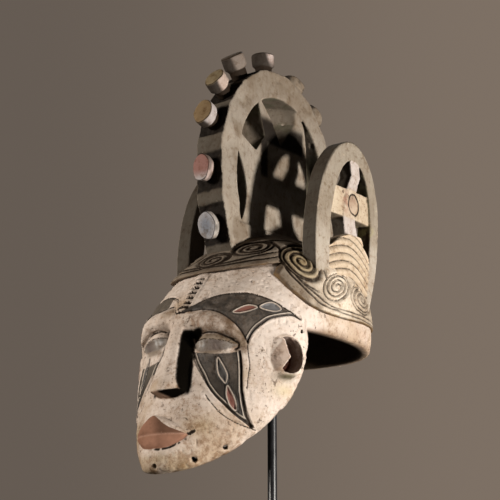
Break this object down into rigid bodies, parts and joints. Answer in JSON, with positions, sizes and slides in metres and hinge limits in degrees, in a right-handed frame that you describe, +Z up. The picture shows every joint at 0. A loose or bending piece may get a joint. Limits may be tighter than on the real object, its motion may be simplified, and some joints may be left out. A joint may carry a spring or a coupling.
{
  "type": "igbo mask",
  "caption": "Carved wooden helmet mask with a white face, patterned hair cap, openwork arched crest and side hoops, on a steel rod with a square foot.",
  "frame": {"origin": "underside of the square foot, straight under the rod", "axes": "+Z up, the face looks along -Y, +X is the mask's own left"},
  "size_m": [0.28, 0.334, 0.7371],
  "materials": {
    "painted_wood": "worn white clay and black pigment over carved wood, grey-brown weathered crest",
    "rod_steel": "black gloss",
    "foot_steel": "black satin"
  },
  "bodies": {
    "root": {"mask": "painted_wood", "stand_rod": "rod_steel", "stand_foot": "foot_steel"}
  },
  "joints": []
}
